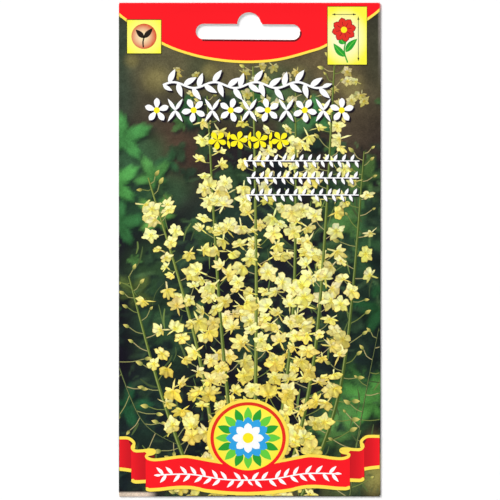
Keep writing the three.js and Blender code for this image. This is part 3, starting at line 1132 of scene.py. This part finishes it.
# Ribbon with folded ends: points are given from its middle, outwards and up
RIBBON = PRINT + 6
RIBBON_MIDDLE = (-0.6, -66)
RIBBON_TILT = radians(0.37)
EDGE = 0.9  # width of the gold line along the top
FOOT_EDGE = 1.05
BAND_END = 31.2
INNER_END = 35.6
ENDS = [(40.5, 8.68), (37, 8.72), (35.8, 8.31), (34.9, 7.5), (34.7, 6.8), (35.1, 6.21)]
ENDS += [(35.25, 5.61), (34.8, 5), (34, 4.7), (32, 4.79), (30, 5.02), (28.7, 4.91)]
ENDS += [(28.45, 4.36), (29.1, 3.87), (30.3, 3.63), (30.95, 3.2), (30.7, 2.6)]
CREST = [(29.8, 2.2), (28.3, 2), (25.5, 2.25), (22.8, 2.71), (20.5, 2.94), (18.4, 2.98)]
CREST += [(15.2, 2.43), (11.8, 1.76), (10.2, 1.48), (7.6, 1)]
FOOT = [(30.95, -6.85), (30.5, -7.1), (29.8, -7.22), (26.6, -7.04), (23.8, -6.72), (20.5, -6.5)]
FOOT += [(17.3, -6.6), (14.6, -7.12), (12.9, -7.55), (6.3, -8.3), (0, -8.55)]
OUTER_FOOT = [(40.5, -0.65), (37.6, -0.95), (35.6, -1.28)]
INNER_FOOT = [(35.35, -4.15), (35, -4.5), (34.3, -4.72), (33.1, -4.7), (31, -4.6)]
UNDERSIDES = [
    [(36.3, 7.7), (35.1, 7.7), (35, 6.7), (35.7, 6.5)],
    [(30.7, 3.4), (28.45, 3.7), (28.45, 2), (30.4, 2.2)],
]
TURNS = [
    [(34.35, 7.2), (34.35, 5.5), (35.3, 5.4), (35.4, 6.4)],
    [(31.4, 4.4), (31, 4.8), (28.8, 4.9), (28.7, 4), (30.7, 3.8)],
    [(35.6, -3.9), (35, -3.8), (34.9, -4.5), (35.6, -4.6)],
    [(31.2, -6.45), (30.7, -6.4), (30.6, -7.1), (31.2, -7.3)],
]


def on_ribbon(points, side):
    """Points of the ribbon on its left, side -1, or on its right, side 1."""
    return turned([(side * u, v) for u, v in points], *RIBBON_MIDDLE, RIBBON_TILT)


# The gold lines: path, step, width and layer
LINES = [(OUTER_FOOT, 0.6, FOOT_EDGE, 1), (INNER_FOOT, 0.4, FOOT_EDGE, 3)]
LINES += [(ENDS + CREST, 0.4, EDGE, 8), (FOOT, 0.8, FOOT_EDGE, 8)]
outer = curve(ENDS[:7], 0.6) + OUTER_FOOT[::-1]
inner = curve(ENDS[6:16], 0.6) + [*INNER_FOOT[::-1], (INNER_END, -4.2), (INNER_END, 5.6)]
top = [(BAND_END, 2.8), *curve(CREST, 1)]
foot = [(BAND_END, -7), *curve(FOOT, 1)]
DIM, BRIGHT = (204, 24, 34), (246, 30, 40)
FAR = 999  # a reach so long that the tint doesn't change that way
for side in (-1, 1):
    outer_fold, inner_fold = on_ribbon([(35.6, 4), (30.9, 4)], side)
    glow(fold, on_ribbon(outer, side), outer_fold, (4.4, FAR), DIM, BRIGHT, RIBBON)
    glow(fold, on_ribbon(inner, side), inner_fold, (5.2, FAR), DIM, BRIGHT, RIBBON + 2)
    for outline in UNDERSIDES:
        deep_red_and_slot_shadow.area([on_ribbon(outline, side)], RIBBON + 4)
    for outline in TURNS:
        gold.area([on_ribbon(outline, side)], RIBBON + 7.5)
    for line, step, width, layer in LINES:
        gold.strip(on_ribbon(curve(line, step), side), width, RIBBON + layer)
band = on_ribbon(top, -1) + on_ribbon(top, 1)[::-1] + on_ribbon(foot, 1) + on_ribbon(foot, -1)[::-1]
red.area([band], RIBBON + 7)

# Seal: a rosette of leaves and petals, a little wider than it is high
SEAL = (-0.5, -57.4)
SEAL_HEIGHT = 0.953  # for a width of 1


def on_seal(points, angle=0.0):
    """Points given from the seal's middle, turned by angle and brought to the seal's height."""
    return [(SEAL[0] + u, SEAL[1] + v * SEAL_HEIGHT) for u, v in turned(points, 0, 0, angle)]


gold.area([on_seal(circle(0, 0, 12.5, 64))], RIBBON + 5)
low, high = -0.91, pi + 0.91  # the ring ends on the ribbon
ring = on_seal([*arc(0, 0, 11.48, low, high, 60), *arc(0, 0, 10.4, high, low, 60)])
glow(fold, ring, (0, -46), (FAR, 19.5), (222, 54, 34), RED, RIBBON + 8.5)
disc = on_seal(circle(0, 0, 10.47, 64))
glow(lemon, disc, SEAL, (11, 11), (254, 252, 112), (254, 238, 52), RIBBON + 9)
for k in range(16):
    tone = (green, moss)[k % 2]
    shape = turned(leaf(5, 2.45, 10), 5, 0)
    tone.area([on_seal(shape, k * pi / 8)], RIBBON + 10 + k % 2)
for k in range(12):
    sky.area([on_seal(petal(6.8, 3.1), k * pi / 6)], RIBBON + 12 + 0.5 * (k % 2))
for k in range(8):
    white.area([on_seal(petal(4.85, 2.5), k * pi / 4)], RIBBON + 14 + 0.5 * (k % 2))
sun.area([on_seal(circle(0, 0, 1.65, 24))], RIBBON + 16)

# White sprigs along the ribbon
sprig = curve([(0, -4.4), (7.6, -4.1), (17.6, -2.5), (27, -2.65)], 0.9)
for side in (-1, 1):
    leafy = garland(on_ribbon(sprig, side), 3.2, 1.05, 1.6, 0.85, 0.4)
    lay(white, *leafy, RIBBON + 10, 0.5, 1)

# Back, as read from behind: a frame, boxes for months, plain lines and pictograms
grass = Ink("back_green", paint("back_green_ink", (70, 140, 66)), True)
grey = Ink("back_grey", paint("back_grey_ink", (120, 116, 104)), True)
chalk = Ink("back_white", paint("back_white_ink", WHITE), True)
COARSE = 8  # step of large plain areas
TEXT_LEFT, TEXT_RIGHT = -33, 33.5
LINE_GAP = 4.6
LINE_HEIGHT = 1.1
grass.area(border(-35.7, -55.2, 36.2, 50.7, 0.5), 1, COARSE)
grass.area([box(TEXT_LEFT, 40, TEXT_RIGHT, 48)], 1, COARSE)
lay(chalk, *garland(wave(-24, 24, 44, 0.5, 12), 3.4, 1.5, 2.4, 0.9, 0.45), 2, 1, 2)
for k in range(12):
    x, y = -32 + k % 6 * 11, 31 - k // 6 * 7
    if 3 <= k <= 6:
        grass.area([box(x, y, x + 9.6, y + 5.6)], 1, COARSE)
    else:
        grey.area(border(x, y, x + 9.6, y + 5.6, 0.28), 1, COARSE)
for k in range(11):
    x, y = TEXT_RIGHT if k % 5 < 4 else 4, 15 - k * LINE_GAP
    grey.area([box(TEXT_LEFT, y, x, y + LINE_HEIGHT)], 1, 20)
ICONS = -44.5  # their middles' height
for x in (-20, 0, 20):
    grass.area([circle(x, ICONS, 6.65, 48), circle(x, ICONS, 6.15, 48)], 1, COARSE)
grass.strip([(-20, ICONS - 4.4), (-20, ICONS - 0.5)], 0.6, 1)
for angle in (0.75, 2.4):
    grass.area([turned(leaf(5, 2.4), -20, ICONS - 0.8, angle)], 2)
grass.area([turned(petal(8, 5.6, 12), 0, ICONS + 4.4, -pi / 2)], 1)
grass.area([circle(20, ICONS, 2.2, 24)], 1)
for k in range(8):
    grass.strip(turned([(3.1, 0), (4.9, 0)], 20, ICONS, k * pi / 4), 0.5, 1)

for ink in Ink.layers:
    ink.finish()

# -------- camera, floor and light


def sun_light(name, direction, strength, softness):
    """An even light from direction, softened over some degrees."""
    data = bpy.data.lights.new(name, "SUN")
    data.energy = strength
    data.angle = radians(softness)
    add(name, data).rotation_euler = Vector(direction).to_track_quat("Z", "Y").to_euler()


seed_coat = paint("seed_coat", (58, 44, 36), 0.75, 0.3, (3000, 0.12))
dried_glue = paint("dried_glue", (232, 224, 196), 0.5, 0.4, (900, 0.03))
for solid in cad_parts.values():
    for slot_name, material in (("seed", seed_coat), ("glue", dried_glue)):
        if slot_name in solid.name:
            solid.data.materials.clear()
            solid.data.materials.append(material)

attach(packet, "root")

FLOOR = 3000  # half its side
corners = [(x, y, 0) for x, y in box(-FLOOR, -FLOOR, FLOOR, FLOOR)]
floor_paint = paint("floor", WHITE, 0.9, 0)
floor = link("floor", corners, [(0, 1, 2, 3)], [floor_paint])
floor.location.z = -0.02 * MM

# A pale room, white at the horizon and dimmer overhead
world = bpy.data.worlds.new("world")
world.use_nodes = True
tree = world.node_tree
place = node(tree, "TexCoord").outputs["Generated"]
height = node(tree, "SeparateXYZ", Vector=place).outputs["Z"]
ends = {"From_Min": 0.16, "From_Max": 0.3, "To_Min": 1, "To_Max": WORLD_LIGHT}
fade = node(tree, "MapRange", Value=height, **ends)
tree.links.new(fade.outputs["Result"], tree.nodes["Background"].inputs["Strength"])
tree.nodes["Background"].inputs["Color"].default_value = (1, 1, 1, 1)
scene = bpy.context.scene
scene.world = world
scene.view_settings.view_transform = "Standard"
sun_light("key", (-0.75, 0.85, 0.9), KEY_LIGHT, 24)
sun_light("overhead", (0.15, -0.2, 1), OVERHEAD_LIGHT, 70)

camera_data = bpy.data.cameras.new("camera")
camera_data.lens = 150
camera_data.clip_start = 0.05
camera_data.clip_end = 20
camera = add("camera", camera_data)
camera.location = (0.00009, -0.0001, 0.6375)
scene.camera = camera
